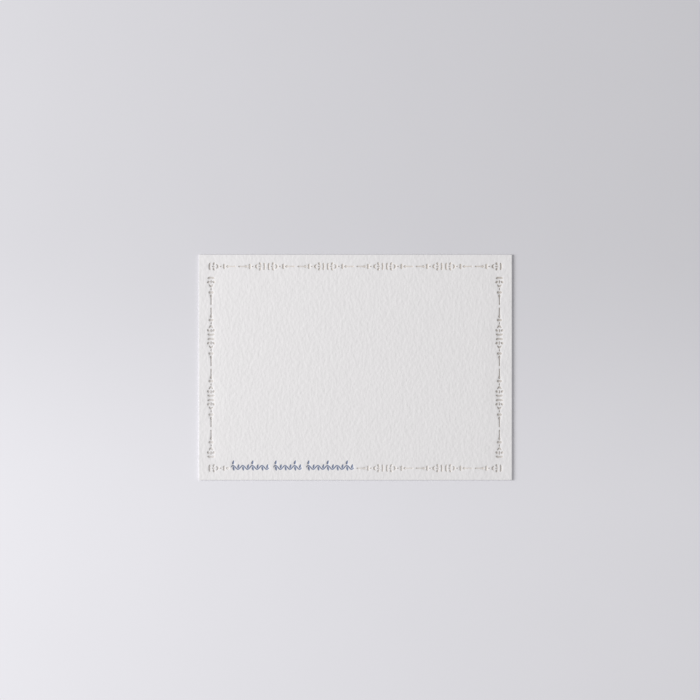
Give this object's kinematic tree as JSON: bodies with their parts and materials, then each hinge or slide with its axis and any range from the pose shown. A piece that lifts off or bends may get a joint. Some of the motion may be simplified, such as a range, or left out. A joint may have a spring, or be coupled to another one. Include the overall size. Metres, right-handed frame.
{
  "type": "note card",
  "caption": "Flat rectangular note card of thick cotton stock, with a border of small ornaments pressed into its face around a blank field for writing.",
  "frame": {"origin": "centre of the underside of the card, which rests on the ground plane", "axes": "+X along the card's width to the reader's right, +Y to the card's top edge, +Z out of the printed face"},
  "size_m": [0.1588, 0.1142, 0.001],
  "materials": {
    "cotton_stock": "uncoated soft white cotton stock with a felt tooth, pressed ornaments in faint taupe grey and slate blue ink"
  },
  "bodies": {
    "root": {"card": "cotton_stock"}
  },
  "joints": []
}
